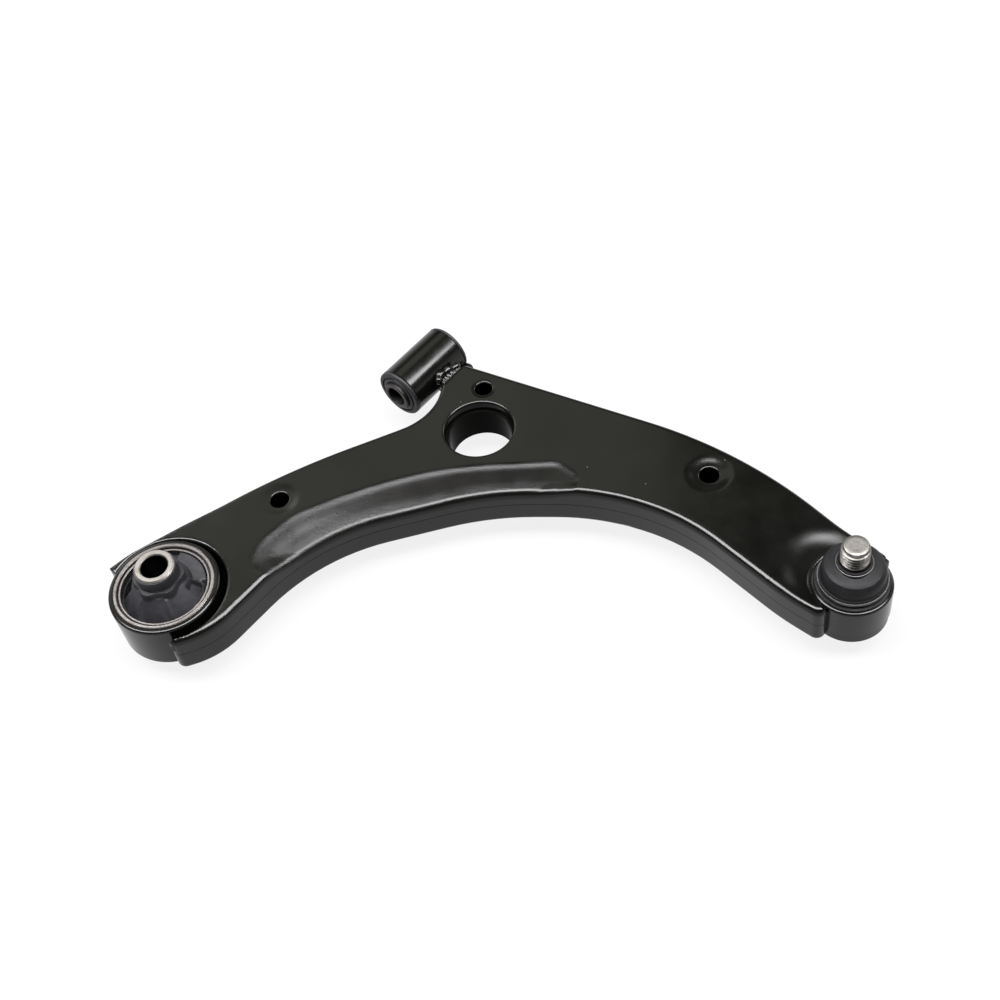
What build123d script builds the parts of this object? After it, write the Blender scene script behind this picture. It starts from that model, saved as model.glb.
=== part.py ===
"""Front lower control arm: two pressed shells, two rubber bushes and a ball joint.

Frame: millimetres, the origin on the axis of the rear bush, level with the flat top of
the arm. +Z is up along the rear bush bore and +X runs towards the ball joint.
"""
from build123d import *
from math import cos, radians, sin
import os

os.makedirs("parts", exist_ok=True)

# ---------------------------------------------------------------- driving dimensions
# Pressed shells
SHEET = 2.5                    # sheet thickness
ARM_DEPTH = 24.5               # top face to bottom face
SEAM_Z = -11.5                 # lower rim of the upper shell
SEAM_GAP = 0.3                 # visible line between the two shells
LAP_THICKNESS = 1.7            # the lower shell's flange is thinned where it laps
LAP_GAP = 0.05                 # between the upper shell's wall and the flange inside it
TOP_EDGE_RADIUS = 3.6
BOTTOM_EDGE_RADIUS = 2.4
JOGGLE_TOP_Z = -8.6            # top of the lower shell's hidden inner flange
JOGGLE_DEPTH = 7.0             # how far that flange reaches below the seam

# Rear bush, upright
HOUSING_RADIUS = 30.0
HOUSING_BORE = 27.2
HOUSING_TOP_Z = 0.5
HOUSING_BOTTOM_Z = -27.5
OUTER_SLEEVE_BORE = 25.2
LINER_OUTER = 24.4
LINER_INNER = 23.3
REAR_SLEEVE_RADIUS = 10.75
REAR_BORE = 7.1                # M14 bolt
REAR_SLEEVE_TOP_Z = 18.5
REAR_SLEEVE_BOTTOM_Z = -38.0
REAR_RUBBER_TOP_Z = -4.5
REAR_RUBBER_BOTTOM_Z = -26.5
REAR_SKIN_TOP_Z = -0.7
LINER_TOP_Z = 0.1
LINER_BOTTOM_Z = -25.5
BOSS_LOBES = 6
BOSS_HEIGHT = 9.5
BOSS_TAPER = 12
LOBE_ANGLE = 60
PAD_START = -10                # degrees
PAD_TURN = 65
PAD_INNER = 15.5
PAD_HEIGHT = 2.5
VOID_RADIUS = 19.3
VOID_WIDTH = 5.6
VOID_START = 95
VOID_TURN = 100
REAR_BOSS_RADIUS = 14.6        # star-shaped rubber boss round the inner sleeve
FRONT_WALL_RADIUS = 37.7
FRONT_WALL_END = -75.6         # degrees, where the front wall stops on the housing
END_REACH = 2.0                # how far the plan's ends reach inside the round parts
HOUSING_EDGE = 0.8             # broken edges of the turned rings
REAR_SLEEVE_EDGE = 0.8
OUTER_SLEEVE_EDGE = 0.4
LINER_EDGE = 0.2
OUTER_SLEEVE_PROUD = 0.6
OUTER_SLEEVE_BELOW = 1.0

# Front bush, lying
TUBE_CENTRE = Vector(120.7, 158.5, -9.0)
TUBE_ANGLE = 54.5              # degrees from +X to the tube's axis, seen from above
TUBE_LENGTH = 40.5
TUBE_RADIUS = 14.75
TUBE_BORE = 12.7
FRONT_OUTER_SLEEVE_BORE = 11.4
FRONT_SLEEVE_RADIUS = 8.6
FRONT_BORE = 6.1               # M12 bolt
FRONT_SLEEVE_LENGTH = 49.0
LIP_THICKNESS = 3.4            # rubber lip over each end of the tube
LIP_RADIUS = 15.2
LIP_ROUND = 0.9
TUBE_EDGE = 0.6
FRONT_OUTER_SLEEVE_EDGE = 0.3
FRONT_SLEEVE_EDGE = 0.5
SHAFT_GAP = 0.05               # running clearance of a turning sleeve

# Ball joint
BALL_X = 354.4
BALL_Y = 1.4
BALL_Z = -12.5                 # centre of the ball
BALL_RADIUS = 12.0
BALL_GAP = 0.05
COLLAR_RADIUS = 20.3
COLLAR_TOP_Z = -1.0
COLLAR_BOTTOM_Z = -19.5
COLLAR_ROUND = 1.4
BODY_RADIUS = 17.0
BODY_FLANGE_RADIUS = 19.6
BODY_BOTTOM_Z = -26.8
BALL_WALL_END = 35             # degrees, where the back wall stops on the collar
FRONT_COLLAR_END = -128        # degrees, where the inner curve meets the collar
BALL_TAB_RADIUS = 23.2
STUD_RADIUS = 7.75             # threaded end, M16 x 1.5 less its clearance
SHANK_RADIUS = 7.4             # plain shank inside the boot
STUD_NECK = 5.75
STUD_TOP_Z = 29.2

BALL_FLAT = 2.0                # depth of the flat under the ball
NECK_TOP_Z = 3.5
SHANK_Z = 8.0
THREAD_Z = 17.2                # the threaded end starts here
STUD_CHAMFER = 1.5
SEAT_RADIUS = 15.0
SEAT_MOUTH = 10.5
UPPER_SEAT_TOP_Z = -4.6
THROAT_SHOULDER = 12.9
THROAT_INNER = 14.5
THROAT_OUTER = 15.8
THROAT_TOP_Z = 2.4
PRELOAD_TOP_Z = -22.2
PRELOAD_BORE = 8.6
COVER_TOP_Z = -24.6
COVER_BOTTOM_Z = -26.2
CRIMP_RADIUS = 13.4
CIRCLIP_BORE = 16.25
CIRCLIP_RADIUS = 18.7
CIRCLIP_BOTTOM_Z = -0.85
CIRCLIP_TOP_Z = 0.75
CIRCLIP_START = 100            # degrees
CIRCLIP_TURN = 340
CIRCLIP_GAP = 0.1              # play under the circlip in its groove
FIT_GAP = 0.05                 # clearance between fitted pieces
SHOULDER_STEP = 0.2            # the body above the groove is this much smaller
SEAT_LIP = 2.0                 # mouth of the upper seat above the ball's centre
RIM_GAP = 0.1                  # half the gap between the two seats, about
BOOT_BOTTOM_Z = 1.4
BOOT_TOP_Z = 17.0
BOOT_FOOT_RADIUS = 17.4
BOOT_FOOT_INSIDE = 14.8
BOOT_NECK_BOTTOM_Z = 13.0
# radius and height along the boot, outside from the foot up and inside from the neck down
BOOT_OUTSIDE = [(16.3, 4.8), (16.6, 6.5), (16.6, 9.0), (15.6, 11.8), (13.6, 13.8), (10.6, 14.6)]
BOOT_INSIDE = [(12.4, 12.4), (14.6, 10.0), (15.0, 7.0)]
RING_HEIGHT = 1.3
RING_SEAT_STEP = 0.3           # flat under the upper ring
FOOT_STEP = 0.4                # the boot's foot stands this far over the throat
RING_WALL = 0.7
LOWER_RING_Z = 2.4
LOWER_RING_BORE = 16.9
UPPER_RING_Z = 15.1
UPPER_RING_BORE = 9.6

# Weld beads
BEAD = 2.4
BEAD_SHOULDER = 0.6            # where a bead's face bends, as a share of its size
BEAD_END_ROUND = 0.7
COLLAR_BEAD_START = 95         # degrees
COLLAR_BEAD_TURN = 120
COLLAR_BEAD_TOP = 1.5          # below the collar's top
HOUSING_BEAD_START = -60
HOUSING_BEAD_TURN = 175
FRONT_BEADS = [(3.0, 15.2), (-15.4, 4.6)]   # up from and out from the tube's axis
FRONT_BEAD_START = -3.0        # along the tube, from its middle
FRONT_BEAD_LENGTH = 17.0

# Holes and pressed features
CENTRE_HOLE = Vector(158.8, 105.4)
CENTRE_HOLE_RADIUS = 18.6
LOWER_HOLE_RADIUS = 17.8
CENTRE_FLANGE_Z = -6.0
TOOLING_HOLES = {(52.9, 57.4): 5.2, (158.9, 135.4): 4.9, (284.9, 70.7): 5.3}
POCKET_Z = -5.0                # floor of the long bead on the inner curve
POCKET_TAPER = 35
SCALLOP_CENTRE = (341.9, 9.4)  # round dished recess beside the ball joint
SCALLOP_RADIUS = 24.5
SCALLOP_Z = -3.0
OPENING_CENTRE = (1.6, -1.9)   # round opening of the top face over the rear bush
OPENING_RADIUS = 32.3
OPENING_FLANGE_Z = -8.0
FLANGE_JOIN_START = -100       # degrees about the opening: here its flange fills the gap
FLANGE_JOIN_END = -15          # up to the front wall, which stands close by
FLANGE_JOIN_REACH = 60.0
BOTTOM_DRAIN_HOLES = [(72.4, 64.4), (117.4, 84.4), (197.4, 100.4), (242.4, 84.4), (297.4, 47.4)]
DRAIN_RADIUS = 5.0


def polar(radius, degrees, centre=(0.0, 0.0)):
    """A point of the plan at a radius and an angle about a centre."""
    return (centre[0] + radius * cos(radians(degrees)), centre[1] + radius * sin(radians(degrees)))


BALL_AXIS = (BALL_X, BALL_Y)
TUBE_DIRECTION = Vector(*polar(1.0, TUBE_ANGLE))
TUBE_PLANE = Plane(origin=TUBE_CENTRE, x_dir=(0, 0, 1), z_dir=TUBE_DIRECTION)

# ---------------------------------------------------------------- plan of the arm
# Corners and corner radii, walked from the rear bush along the inner curve to the ball
# joint and back along the outer edge. The first and last corners of each end lie inside
# the round housing, where the housing's own circle then cuts them away.
REAR_INNER_CORNERS = [
    (polar(HOUSING_RADIUS - END_REACH, FRONT_WALL_END), 0),
    (polar(FRONT_WALL_RADIUS, FRONT_WALL_END), 4.5),
    ((30.4, -29.2), 45),
    ((74.5, 33.7), 110),
    ((166.3, 60.9), 160),
    ((226.2, 59.9), 130),
    ((271.7, 41.5), 120),
    ((319.7, -5.8), 150),
    ((337.9, -19.6), 4.5),
    (polar(COLLAR_RADIUS - END_REACH, FRONT_COLLAR_END, BALL_AXIS), 0),
]
BALL_OUTER_CORNERS = [
    (polar(COLLAR_RADIUS - END_REACH, BALL_WALL_END, BALL_AXIS), 0),
    (polar(BALL_TAB_RADIUS, BALL_WALL_END, BALL_AXIS), 0),
    ((350.2, 36.0), 120),
    ((302.1, 87.8), 256),
]
UPPER_NECK_CORNERS = [((147.4, 154.7), 5), ((135.6, 156.9), 0)]
# The lower shell reaches further, under the front tube.
LOWER_NECK_CORNERS = [
    ((151.4, 152.9), 5),
    ((148.4, 165.9), 5),
    ((134.4, 168.4), 0),
    ((127.4, 155.9), 0),
    ((134.4, 149.4), 0),
]
REAR_OUTER_CORNERS = [
    ((131.7, 115.8), 34),
    ((53.0, 78.2), 400),
    ((-24.6, 21.4), 60),
    ((-33.2, 12.2), 0),
    ((-27.1, 6.5), 0),
]
UPPER_PLAN = REAR_INNER_CORNERS + BALL_OUTER_CORNERS + UPPER_NECK_CORNERS + REAR_OUTER_CORNERS
LOWER_PLAN = REAR_INNER_CORNERS + BALL_OUTER_CORNERS + LOWER_NECK_CORNERS + REAR_OUTER_CORNERS

# Long bead: its upper side follows these corners; the lower side lies past the inner curve.
POCKET_CORNERS = [
    ((62.0, 2.0), 0),
    ((41.3, 10.8), 8),
    ((42.5, 27.0), 30),
    ((60.0, 48.0), 35),
    ((84.0, 60.0), 150),
    ((135.0, 80.0), 200),
    ((205.0, 83.0), 12),
    ((220.5, 70.0), 8),
    ((212.0, 55.0), 0),
    ((150.0, 25.0), 0),
    ((80.0, -8.0), 0),
]


def plan_face(corners, inset=0.0):
    """The plan of a shell as a sketch, optionally moved inwards by a wall thickness."""
    with BuildSketch() as sketch:
        with BuildLine():
            FilletPolyline([point for point, _ in corners], radius=[r for _, r in corners], close=True)
        make_face()
        if inset:
            offset(amount=-inset, kind=Kind.INTERSECTION)
    return sketch.sketch


UPPER_OUTER = plan_face(UPPER_PLAN)
UPPER_INNER = plan_face(UPPER_PLAN, SHEET)
UPPER_MIDDLE = plan_face(UPPER_PLAN, SHEET / 2)
JOGGLE_OUTER = plan_face(UPPER_PLAN, SHEET + LAP_GAP)
JOGGLE_INNER = plan_face(UPPER_PLAN, SHEET + LAP_THICKNESS)
LOWER_OUTER = plan_face(LOWER_PLAN)
LOWER_INNER = plan_face(LOWER_PLAN, SHEET)
POCKET_FLOOR = plan_face(POCKET_CORNERS)
POCKET_UNDERSIDE = plan_face(POCKET_CORNERS, -SHEET)


def ring(outer, inner, bottom, top, edge=0.0):
    """A plain tube about the Z axis of the current frame, with its long edges broken."""
    with BuildPart() as tube:
        with BuildSketch(Plane.XY.offset(bottom)):
            Circle(outer)
            Circle(inner, mode=Mode.SUBTRACT)
        extrude(amount=top - bottom)
        if edge:
            chamfer(tube.edges().filter_by(GeomType.CIRCLE), edge)
    return tube.part


def save(part, name):
    """Label a finished piece and write its STEP file."""
    part.label = name
    export_step(part, f"parts/{name}.step")


# ---------------------------------------------------------------- upper shell
with BuildPart() as upper_cavity:
    with BuildSketch(Plane.XY.offset(SEAM_Z)):
        add(UPPER_INNER)
    extrude(amount=-SEAM_Z - SHEET)
    fillet(upper_cavity.faces().sort_by(Axis.Z)[-1].edges(), TOP_EDGE_RADIUS - SHEET)
    with BuildSketch(Plane.XY.offset(POCKET_Z - SHEET)):
        add(POCKET_UNDERSIDE)
    extrude(amount=SHEET - POCKET_Z, taper=-POCKET_TAPER, mode=Mode.SUBTRACT)
    with BuildSketch(Plane.XY.offset(SCALLOP_Z - SHEET)):
        with Locations(SCALLOP_CENTRE):
            Circle(SCALLOP_RADIUS + SHEET)
    extrude(amount=SHEET - SCALLOP_Z, mode=Mode.SUBTRACT)

with BuildPart() as upper_shell:
    with BuildSketch(Plane.XY.offset(SEAM_Z)):
        add(UPPER_OUTER)
    extrude(amount=-SEAM_Z)
    fillet(upper_shell.faces().sort_by(Axis.Z)[-1].edges(), TOP_EDGE_RADIUS)
    # long bead, open towards the inner curve, and the round recess beside the ball joint
    with BuildSketch(Plane.XY.offset(POCKET_Z)):
        add(POCKET_FLOOR)
    extrude(amount=-POCKET_Z, taper=-POCKET_TAPER, mode=Mode.SUBTRACT)
    with BuildSketch(Plane.XY.offset(SCALLOP_Z)):
        with Locations(SCALLOP_CENTRE):
            Circle(SCALLOP_RADIUS)
    extrude(amount=-SCALLOP_Z, taper=-POCKET_TAPER, mode=Mode.SUBTRACT)
    add(upper_cavity.part, mode=Mode.SUBTRACT)
    # turned-down flange of the opening over the rear bush
    with BuildSketch(Plane.XY.offset(OPENING_FLANGE_Z)):
        with Locations(OPENING_CENTRE):
            Circle(OPENING_RADIUS + SHEET)
        Polygon(OPENING_CENTRE, polar(FLANGE_JOIN_REACH, FLANGE_JOIN_START, OPENING_CENTRE),
                polar(FLANGE_JOIN_REACH, FLANGE_JOIN_END, OPENING_CENTRE), align=None)
        add(UPPER_MIDDLE, mode=Mode.INTERSECT)
    extrude(amount=-OPENING_FLANGE_Z - SHEET / 2)
    # turned-down flange of the centre hole
    with BuildSketch(Plane.XY.offset(CENTRE_FLANGE_Z)):
        with Locations(CENTRE_HOLE):
            Circle(CENTRE_HOLE_RADIUS + SHEET)
    extrude(amount=-CENTRE_FLANGE_Z - SHEET / 2)
    with BuildSketch(Plane.XY.offset(SEAM_Z - 1)):
        with Locations(OPENING_CENTRE):
            Circle(OPENING_RADIUS)
        Circle(HOUSING_RADIUS)
        with Locations(CENTRE_HOLE):
            Circle(CENTRE_HOLE_RADIUS)
        with Locations(BALL_AXIS):
            Circle(COLLAR_RADIUS)
        for hole_place, hole_radius in TOOLING_HOLES.items():
            with Locations(hole_place):
                Circle(hole_radius)
    extrude(amount=2 - SEAM_Z, mode=Mode.SUBTRACT)
    with BuildSketch(TUBE_PLANE.offset(-TUBE_LENGTH)):
        Circle(TUBE_RADIUS)
    extrude(amount=2 * TUBE_LENGTH, mode=Mode.SUBTRACT)
save(upper_shell.part, "upper_shell")

# ---------------------------------------------------------------- lower shell
LOWER_TOP_Z = SEAM_Z - SEAM_GAP

with BuildPart() as lower_shell:
    with BuildSketch(Plane.XY.offset(-ARM_DEPTH)):
        add(LOWER_OUTER)
    extrude(amount=ARM_DEPTH + LOWER_TOP_Z)
    fillet(lower_shell.faces().sort_by(Axis.Z)[0].edges(), BOTTOM_EDGE_RADIUS)
    # hidden flange that rises inside the upper shell
    with BuildSketch(Plane.XY.offset(LOWER_TOP_Z - SHEET)):
        add(JOGGLE_OUTER)
    extrude(amount=JOGGLE_TOP_Z - LOWER_TOP_Z + SHEET)
    # hollow: full width near the floor, narrower where the flange stands, and the toe
    # under the front tube, which is open at the top
    with BuildSketch(Plane.XY.offset(SHEET - ARM_DEPTH)):
        add(LOWER_INNER)
    extrude(amount=ARM_DEPTH - SHEET + LOWER_TOP_Z - JOGGLE_DEPTH, mode=Mode.SUBTRACT)
    with BuildSketch(Plane.XY.offset(SHEET - ARM_DEPTH)):
        add(JOGGLE_INNER)
    extrude(amount=ARM_DEPTH, mode=Mode.SUBTRACT)
    with BuildSketch(Plane.XY.offset(SHEET - ARM_DEPTH)):
        add(LOWER_INNER)
        add(UPPER_OUTER, mode=Mode.SUBTRACT)
    extrude(amount=ARM_DEPTH, mode=Mode.SUBTRACT)
    # turned-up flange of the centre hole
    with BuildSketch(Plane.XY.offset(-ARM_DEPTH)):
        with Locations(CENTRE_HOLE):
            Circle(LOWER_HOLE_RADIUS + SHEET)
    extrude(amount=ARM_DEPTH + CENTRE_FLANGE_Z - SEAM_GAP)
    with BuildSketch(Plane.XY.offset(-ARM_DEPTH - 1)):
        Circle(HOUSING_RADIUS)
        with Locations(BALL_AXIS):
            Circle(COLLAR_RADIUS)
        with Locations(CENTRE_HOLE):
            Circle(LOWER_HOLE_RADIUS)
        with Locations(BOTTOM_DRAIN_HOLES):
            Circle(DRAIN_RADIUS)
    extrude(amount=ARM_DEPTH + 2, mode=Mode.SUBTRACT)
    with BuildSketch(TUBE_PLANE.offset(-TUBE_LENGTH)):
        Circle(TUBE_RADIUS)
    extrude(amount=2 * TUBE_LENGTH, mode=Mode.SUBTRACT)
save(lower_shell.part, "lower_shell")


# ---------------------------------------------------------------- rear bush
save(ring(HOUSING_RADIUS, HOUSING_BORE, HOUSING_BOTTOM_Z, HOUSING_TOP_Z, HOUSING_EDGE),
     "rear_bush_housing")
save(ring(HOUSING_BORE, OUTER_SLEEVE_BORE, HOUSING_BOTTOM_Z - OUTER_SLEEVE_BELOW,
          HOUSING_TOP_Z + OUTER_SLEEVE_PROUD, OUTER_SLEEVE_EDGE), "rear_bush_outer_sleeve")
save(ring(LINER_OUTER, LINER_INNER, LINER_BOTTOM_Z, LINER_TOP_Z, LINER_EDGE), "rear_bush_liner")
save(ring(REAR_SLEEVE_RADIUS, REAR_BORE, REAR_SLEEVE_BOTTOM_Z, REAR_SLEEVE_TOP_Z, REAR_SLEEVE_EDGE),
     "rear_bush_inner_sleeve")

with BuildPart() as rear_bush_rubber:
    # skin between the outer sleeve and the liner, and the web inside the liner
    with BuildSketch(Plane.XY.offset(REAR_RUBBER_BOTTOM_Z)):
        Circle(OUTER_SLEEVE_BORE)
    extrude(amount=REAR_SKIN_TOP_Z - REAR_RUBBER_BOTTOM_Z)
    with BuildSketch(Plane.XY.offset(REAR_RUBBER_TOP_Z)):
        Circle(LINER_OUTER)
    extrude(amount=-REAR_RUBBER_TOP_Z, mode=Mode.SUBTRACT)
    with BuildSketch(Plane.XY.offset(LINER_BOTTOM_Z)):
        Circle(LINER_OUTER)
        Circle(LINER_INNER, mode=Mode.SUBTRACT)
    extrude(amount=LINER_TOP_Z - LINER_BOTTOM_Z, mode=Mode.SUBTRACT)
    # star-shaped boss round the inner sleeve
    with BuildSketch(Plane.XY.offset(REAR_RUBBER_TOP_Z)):
        for lobe in range(BOSS_LOBES):
            with Locations(Location((0, 0, 0), (0, 0, lobe * 360 / BOSS_LOBES))):
                Triangle(a=2 * REAR_BOSS_RADIUS * sin(radians(LOBE_ANGLE)), B=LOBE_ANGLE, C=LOBE_ANGLE)
    extrude(amount=BOSS_HEIGHT, taper=BOSS_TAPER)
    # raised pad on the side of the arm
    with BuildSketch(Plane.XY.offset(REAR_RUBBER_TOP_Z)):
        with BuildLine():
            pad_outer = CenterArc((0, 0), LINER_INNER, PAD_START, PAD_TURN)
            pad_inner = CenterArc((0, 0), PAD_INNER, PAD_START, PAD_TURN)
            Line(pad_outer @ 0, pad_inner @ 0)
            Line(pad_outer @ 1, pad_inner @ 1)
        make_face()
    extrude(amount=PAD_HEIGHT)
    # crescent void that softens the bush, right through
    with BuildSketch(Plane.XY.offset(REAR_RUBBER_BOTTOM_Z - 1)):
        with BuildLine():
            void_path = CenterArc((0, 0), VOID_RADIUS, VOID_START, VOID_TURN)
        SlotArc(void_path, VOID_WIDTH)
    extrude(amount=HOUSING_RADIUS, mode=Mode.SUBTRACT)
    with BuildSketch(Plane.XY.offset(REAR_SLEEVE_BOTTOM_Z)):
        Circle(REAR_SLEEVE_RADIUS)
    extrude(amount=REAR_SLEEVE_TOP_Z - REAR_SLEEVE_BOTTOM_Z, mode=Mode.SUBTRACT)
save(rear_bush_rubber.part, "rear_bush_rubber")

# ---------------------------------------------------------------- front bush


def cross_ring(outer, inner, length, edge=0.0):
    """A tube centred on the front bush, along its axis, with its long edges broken."""
    with BuildPart() as tube:
        with BuildSketch(TUBE_PLANE.offset(-length / 2)):
            Circle(outer)
            Circle(inner, mode=Mode.SUBTRACT)
        extrude(amount=length)
        if edge:
            chamfer(tube.edges().filter_by(GeomType.CIRCLE), edge)
    return tube.part


save(cross_ring(TUBE_RADIUS, TUBE_BORE, TUBE_LENGTH, TUBE_EDGE), "front_bush_tube")
save(cross_ring(TUBE_BORE, FRONT_OUTER_SLEEVE_BORE, TUBE_LENGTH, FRONT_OUTER_SLEEVE_EDGE),
     "front_bush_outer_sleeve")
save(cross_ring(FRONT_SLEEVE_RADIUS, FRONT_BORE, FRONT_SLEEVE_LENGTH, FRONT_SLEEVE_EDGE),
     "front_bush_inner_sleeve")

with BuildPart() as front_bush_rubber:
    with BuildSketch(TUBE_PLANE.offset(-TUBE_LENGTH / 2)):
        Circle(FRONT_OUTER_SLEEVE_BORE)
    extrude(amount=TUBE_LENGTH)
    for lip_start in (-TUBE_LENGTH / 2 - LIP_THICKNESS, TUBE_LENGTH / 2):
        with BuildSketch(TUBE_PLANE.offset(lip_start)):
            Circle(LIP_RADIUS)
        extrude(amount=LIP_THICKNESS)
    lip_edges = front_bush_rubber.edges().filter_by(GeomType.CIRCLE)
    fillet(lip_edges.filter_by(lambda edge: abs(edge.radius - LIP_RADIUS) < 0.01), LIP_ROUND)
    with BuildSketch(TUBE_PLANE.offset(-FRONT_SLEEVE_LENGTH / 2)):
        Circle(FRONT_SLEEVE_RADIUS + SHAFT_GAP)
    extrude(amount=FRONT_SLEEVE_LENGTH, mode=Mode.SUBTRACT)
save(front_bush_rubber.part, "front_bush_rubber")

# ---------------------------------------------------------------- ball joint
BALL_SPIN = Axis((BALL_X, BALL_Y, 0), (0, 0, 1))


def upright(degrees, centre=(0.0, 0.0)):
    """An upright half plane through a vertical axis, for profiles given as (radius, z)."""
    return Plane(origin=(*centre, 0), x_dir=(*polar(1.0, degrees), 0), z_dir=(*polar(1.0, degrees - 90), 0))


def turned(points, arc=360.0, start=0.0):
    """A solid turned about the ball-joint axis from (radius, z) corners."""
    with BuildPart() as piece:
        with BuildSketch(upright(start, BALL_AXIS)):
            with BuildLine():
                Polyline(points, close=True)
            make_face()
        revolve(axis=BALL_SPIN, revolution_arc=arc)
    return piece.part


def ball_socket(piece):
    """Cut the round socket for the ball out of a bearing seat."""
    with BuildPart() as seat:
        add(piece)
        with Locations((BALL_X, BALL_Y, BALL_Z)):
            Sphere(BALL_RADIUS + BALL_GAP, mode=Mode.SUBTRACT)
    return seat.part


with BuildPart() as ball_joint_collar:
    add(turned([(COLLAR_RADIUS, COLLAR_BOTTOM_Z), (COLLAR_RADIUS, COLLAR_TOP_Z),
                (BODY_RADIUS, COLLAR_TOP_Z), (BODY_RADIUS, COLLAR_BOTTOM_Z)]))
    collar_rim = ball_joint_collar.edges().filter_by(GeomType.CIRCLE).group_by(Axis.Z)[-1]
    fillet(collar_rim.sort_by(SortBy.RADIUS)[-1], COLLAR_ROUND)
save(ball_joint_collar.part, "ball_joint_collar")

save(turned([
    (CRIMP_RADIUS, BODY_BOTTOM_Z), (BODY_FLANGE_RADIUS - 1, BODY_BOTTOM_Z),
    (BODY_FLANGE_RADIUS, BODY_BOTTOM_Z + 1), (BODY_FLANGE_RADIUS, COLLAR_BOTTOM_Z),
    (BODY_RADIUS, COLLAR_BOTTOM_Z), (BODY_RADIUS, CIRCLIP_BOTTOM_Z - CIRCLIP_GAP),
    (CIRCLIP_BORE - FIT_GAP, CIRCLIP_BOTTOM_Z - CIRCLIP_GAP),
    (CIRCLIP_BORE - FIT_GAP, CIRCLIP_TOP_Z + FIT_GAP),
    (BODY_RADIUS - SHOULDER_STEP, CIRCLIP_TOP_Z + FIT_GAP),
    (BODY_RADIUS - SHOULDER_STEP, BOOT_BOTTOM_Z - FIT_GAP),
    (THROAT_OUTER, BOOT_BOTTOM_Z - FIT_GAP), (THROAT_OUTER, THROAT_TOP_Z),
    (THROAT_INNER, THROAT_TOP_Z), (THROAT_SHOULDER, UPPER_SEAT_TOP_Z),
    (SEAT_RADIUS, UPPER_SEAT_TOP_Z), (SEAT_RADIUS, COVER_BOTTOM_Z), (CRIMP_RADIUS, COVER_BOTTOM_Z),
]), "ball_joint_body")

save(turned([
    (CIRCLIP_BORE, CIRCLIP_BOTTOM_Z), (CIRCLIP_RADIUS, CIRCLIP_BOTTOM_Z),
    (CIRCLIP_RADIUS, CIRCLIP_TOP_Z), (CIRCLIP_BORE, CIRCLIP_TOP_Z),
], arc=CIRCLIP_TURN, start=CIRCLIP_START), "ball_joint_circlip")

save(ball_socket(turned([
    (SEAT_MOUTH, BALL_Z + SEAT_LIP), (SEAT_RADIUS, BALL_Z + RIM_GAP), (SEAT_RADIUS, UPPER_SEAT_TOP_Z),
    (SEAT_MOUTH, UPPER_SEAT_TOP_Z),
])), "upper_bearing_seat")
save(ball_socket(turned([
    (SEAT_RADIUS / 2, PRELOAD_TOP_Z), (SEAT_RADIUS, PRELOAD_TOP_Z), (SEAT_RADIUS, BALL_Z - RIM_GAP),
    (SEAT_RADIUS / 2, BALL_Z - RIM_GAP),
])), "lower_bearing_seat")
save(turned([
    (PRELOAD_BORE, COVER_TOP_Z), (SEAT_RADIUS, COVER_TOP_Z), (SEAT_RADIUS, PRELOAD_TOP_Z),
    (PRELOAD_BORE, PRELOAD_TOP_Z),
]), "preload_disc")
save(turned([
    (0, COVER_BOTTOM_Z), (SEAT_RADIUS, COVER_BOTTOM_Z), (SEAT_RADIUS, COVER_TOP_Z), (0, COVER_TOP_Z),
]), "ball_joint_cover")

with BuildPart() as ball_stud:
    with Locations((BALL_X, BALL_Y, BALL_Z)):
        Sphere(BALL_RADIUS)
    with BuildSketch(Plane.XY.offset(BALL_Z - BALL_RADIUS)):
        with Locations(BALL_AXIS):
            Circle(BALL_RADIUS)
    extrude(amount=BALL_FLAT, mode=Mode.SUBTRACT)
    add(turned([
        (0, BALL_Z), (STUD_NECK, BALL_Z), (STUD_NECK, NECK_TOP_Z), (SHANK_RADIUS, SHANK_Z),
        (SHANK_RADIUS, THREAD_Z), (STUD_RADIUS, THREAD_Z),
        (STUD_RADIUS, STUD_TOP_Z - STUD_CHAMFER), (STUD_RADIUS - STUD_CHAMFER, STUD_TOP_Z),
        (0, STUD_TOP_Z),
    ]))
save(ball_stud.part, "ball_stud")

# Boot: a rubber bellows held to the body by one ring and to the stud by another.
BOOT_FOOT_TOP_Z = THROAT_TOP_Z + FOOT_STEP
save(turned([
    (THROAT_OUTER + SHAFT_GAP, BOOT_BOTTOM_Z), (BOOT_FOOT_RADIUS, BOOT_BOTTOM_Z),
    (BOOT_FOOT_RADIUS, LOWER_RING_Z), (LOWER_RING_BORE, LOWER_RING_Z),
    (LOWER_RING_BORE, LOWER_RING_Z + RING_HEIGHT), (BOOT_FOOT_RADIUS, LOWER_RING_Z + RING_HEIGHT),
    *BOOT_OUTSIDE,
    (UPPER_RING_BORE, UPPER_RING_Z - RING_SEAT_STEP), (UPPER_RING_BORE, BOOT_TOP_Z),
    (SHANK_RADIUS + SHAFT_GAP, BOOT_TOP_Z), (SHANK_RADIUS + SHAFT_GAP, BOOT_NECK_BOTTOM_Z),
    *BOOT_INSIDE,
    (BOOT_FOOT_INSIDE, BOOT_FOOT_TOP_Z), (THROAT_OUTER + SHAFT_GAP, BOOT_FOOT_TOP_Z),
]), "dust_boot")
save(turned([
    (LOWER_RING_BORE, LOWER_RING_Z), (LOWER_RING_BORE + RING_WALL, LOWER_RING_Z),
    (LOWER_RING_BORE + RING_WALL, LOWER_RING_Z + RING_HEIGHT),
    (LOWER_RING_BORE, LOWER_RING_Z + RING_HEIGHT),
]), "boot_lower_ring")
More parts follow.
